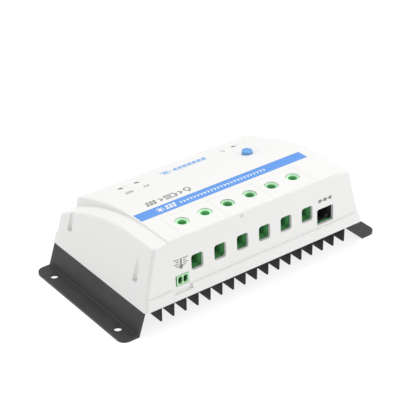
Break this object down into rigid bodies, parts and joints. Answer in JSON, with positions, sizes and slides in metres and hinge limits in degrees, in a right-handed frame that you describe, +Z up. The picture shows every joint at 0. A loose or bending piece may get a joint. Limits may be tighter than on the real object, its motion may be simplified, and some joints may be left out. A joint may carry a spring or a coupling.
{
  "type": "solar charge controller",
  "caption": "Flat white-topped solar charge controller on a black finned heat sink with end flanges, screw terminals along the front and a push button on the arched top.",
  "frame": {"origin": "centre of the footprint, at the underside of the two mounting flanges", "axes": "+X along the length of the case, -Y towards the terminal side, +Z up, away from the mounting surface"},
  "size_m": [0.2018, 0.1016, 0.0567],
  "materials": {
    "heatsink_black": "black anodised extrusion, satin, faint lines along the extrusion",
    "cover_white": "fine-textured white moulding",
    "board_green": "green solder mask",
    "terminal_green": "green nylon, satin",
    "sensor_green": "light green nylon, satin",
    "zinc_steel": "zinc-plated steel",
    "brass": "plain or tinned brass",
    "gold_contact": "gold-plated contact wire",
    "black_plastic": "black nylon and epoxy",
    "white_nylon": "natural nylon",
    "button_blue": "mid blue, soft gloss",
    "lamp_clear": "water-clear lamp body",
    "can_sleeve": "dark blue shrink sleeve",
    "pad_grey": "grey thermal pad",
    "resistance_alloy": "bare resistance alloy"
  },
  "bodies": {
    "housing": {"heat_sink": "heatsink_black", "top_cover": "cover_white", "main_board": "board_green", "board_standoffs": "brass", "board_screws": "zinc_steel", "cover_screws": "zinc_steel", "terminal_bars": "brass", "sensor_socket": "sensor_green", "sensor_pins": "brass", "com_jack": "black_plastic", "com_contacts": "gold_contact", "button_switch": "black_plastic", "lamp_spacers": "white_nylon", "panel_board": "board_green", "panel_board_posts": "white_nylon", "panel_board_screws": "zinc_steel", "link_header": "black_plastic", "link_pins": "gold_contact", "insulating_pad": "pad_grey", "power_transistors": "black_plastic", "transistor_screws": "zinc_steel", "capacitor_left": "can_sleeve", "capacitor_right": "can_sleeve", "current_shunt": "resistance_alloy", "surge_diodes": "black_plastic", "control_chip": "black_plastic", "terminal_block_solar": "terminal_green", "terminal_block_battery": "terminal_green", "terminal_block_load": "terminal_green", "charge_led": "lamp_clear", "battery_led": "lamp_clear", "load_led": "lamp_clear"},
    "button": {"button_cap": "button_blue", "switch_plunger": "black_plastic"},
    "screw_1": {"terminal_screw_1": "zinc_steel"},
    "cage_1": {"clamp_cage_1": "zinc_steel"},
    "screw_2": {"terminal_screw_2": "zinc_steel"},
    "cage_2": {"clamp_cage_2": "zinc_steel"},
    "screw_3": {"terminal_screw_3": "zinc_steel"},
    "cage_3": {"clamp_cage_3": "zinc_steel"},
    "screw_4": {"terminal_screw_4": "zinc_steel"},
    "cage_4": {"clamp_cage_4": "zinc_steel"},
    "screw_5": {"terminal_screw_5": "zinc_steel"},
    "cage_5": {"clamp_cage_5": "zinc_steel"},
    "screw_6": {"terminal_screw_6": "zinc_steel"},
    "cage_6": {"clamp_cage_6": "zinc_steel"}
  },
  "joints": [
    {"name": "button_press", "type": "slide", "parent": "housing", "child": "button", "axis": [0, 0, -1], "range_m": [0, 0.0005], "stiffness_N_per_m": 1500, "springref_m": -0.0001},
    {"name": "screw_turn_1", "type": "hinge", "parent": "housing", "child": "screw_1", "pos_m": [-0.0456, -0.033, 0.0502], "axis": [0, 0, -1], "range_deg": [0, 2160]},
    {"name": "cage_lift_1", "type": "slide", "parent": "housing", "child": "cage_1", "axis": [0, 0, 1], "range_m": [0, 0.0048]},
    {"name": "screw_turn_2", "type": "hinge", "parent": "housing", "child": "screw_2", "pos_m": [-0.0285, -0.033, 0.0502], "axis": [0, 0, -1], "range_deg": [0, 2160]},
    {"name": "cage_lift_2", "type": "slide", "parent": "housing", "child": "cage_2", "axis": [0, 0, 1], "range_m": [0, 0.0048]},
    {"name": "screw_turn_3", "type": "hinge", "parent": "housing", "child": "screw_3", "pos_m": [-0.0114, -0.033, 0.0502], "axis": [0, 0, -1], "range_deg": [0, 2160]},
    {"name": "cage_lift_3", "type": "slide", "parent": "housing", "child": "cage_3", "axis": [0, 0, 1], "range_m": [0, 0.0048]},
    {"name": "screw_turn_4", "type": "hinge", "parent": "housing", "child": "screw_4", "pos_m": [0.0057, -0.033, 0.0502], "axis": [0, 0, -1], "range_deg": [0, 2160]},
    {"name": "cage_lift_4", "type": "slide", "parent": "housing", "child": "cage_4", "axis": [0, 0, 1], "range_m": [0, 0.0048]},
    {"name": "screw_turn_5", "type": "hinge", "parent": "housing", "child": "screw_5", "pos_m": [0.0228, -0.033, 0.0502], "axis": [0, 0, -1], "range_deg": [0, 2160]},
    {"name": "cage_lift_5", "type": "slide", "parent": "housing", "child": "cage_5", "axis": [0, 0, 1], "range_m": [0, 0.0048]},
    {"name": "screw_turn_6", "type": "hinge", "parent": "housing", "child": "screw_6", "pos_m": [0.0399, -0.033, 0.0502], "axis": [0, 0, -1], "range_deg": [0, 2160]},
    {"name": "cage_lift_6", "type": "slide", "parent": "housing", "child": "cage_6", "axis": [0, 0, 1], "range_m": [0, 0.0048]}
  ],
  "couplings": [
    {"joint": "screw_turn_1", "follows": "cage_lift_1", "rad_per_m": 7854},
    {"joint": "screw_turn_2", "follows": "cage_lift_2", "rad_per_m": 7854},
    {"joint": "screw_turn_3", "follows": "cage_lift_3", "rad_per_m": 7854},
    {"joint": "screw_turn_4", "follows": "cage_lift_4", "rad_per_m": 7854},
    {"joint": "screw_turn_5", "follows": "cage_lift_5", "rad_per_m": 7854},
    {"joint": "screw_turn_6", "follows": "cage_lift_6", "rad_per_m": 7854}
  ]
}
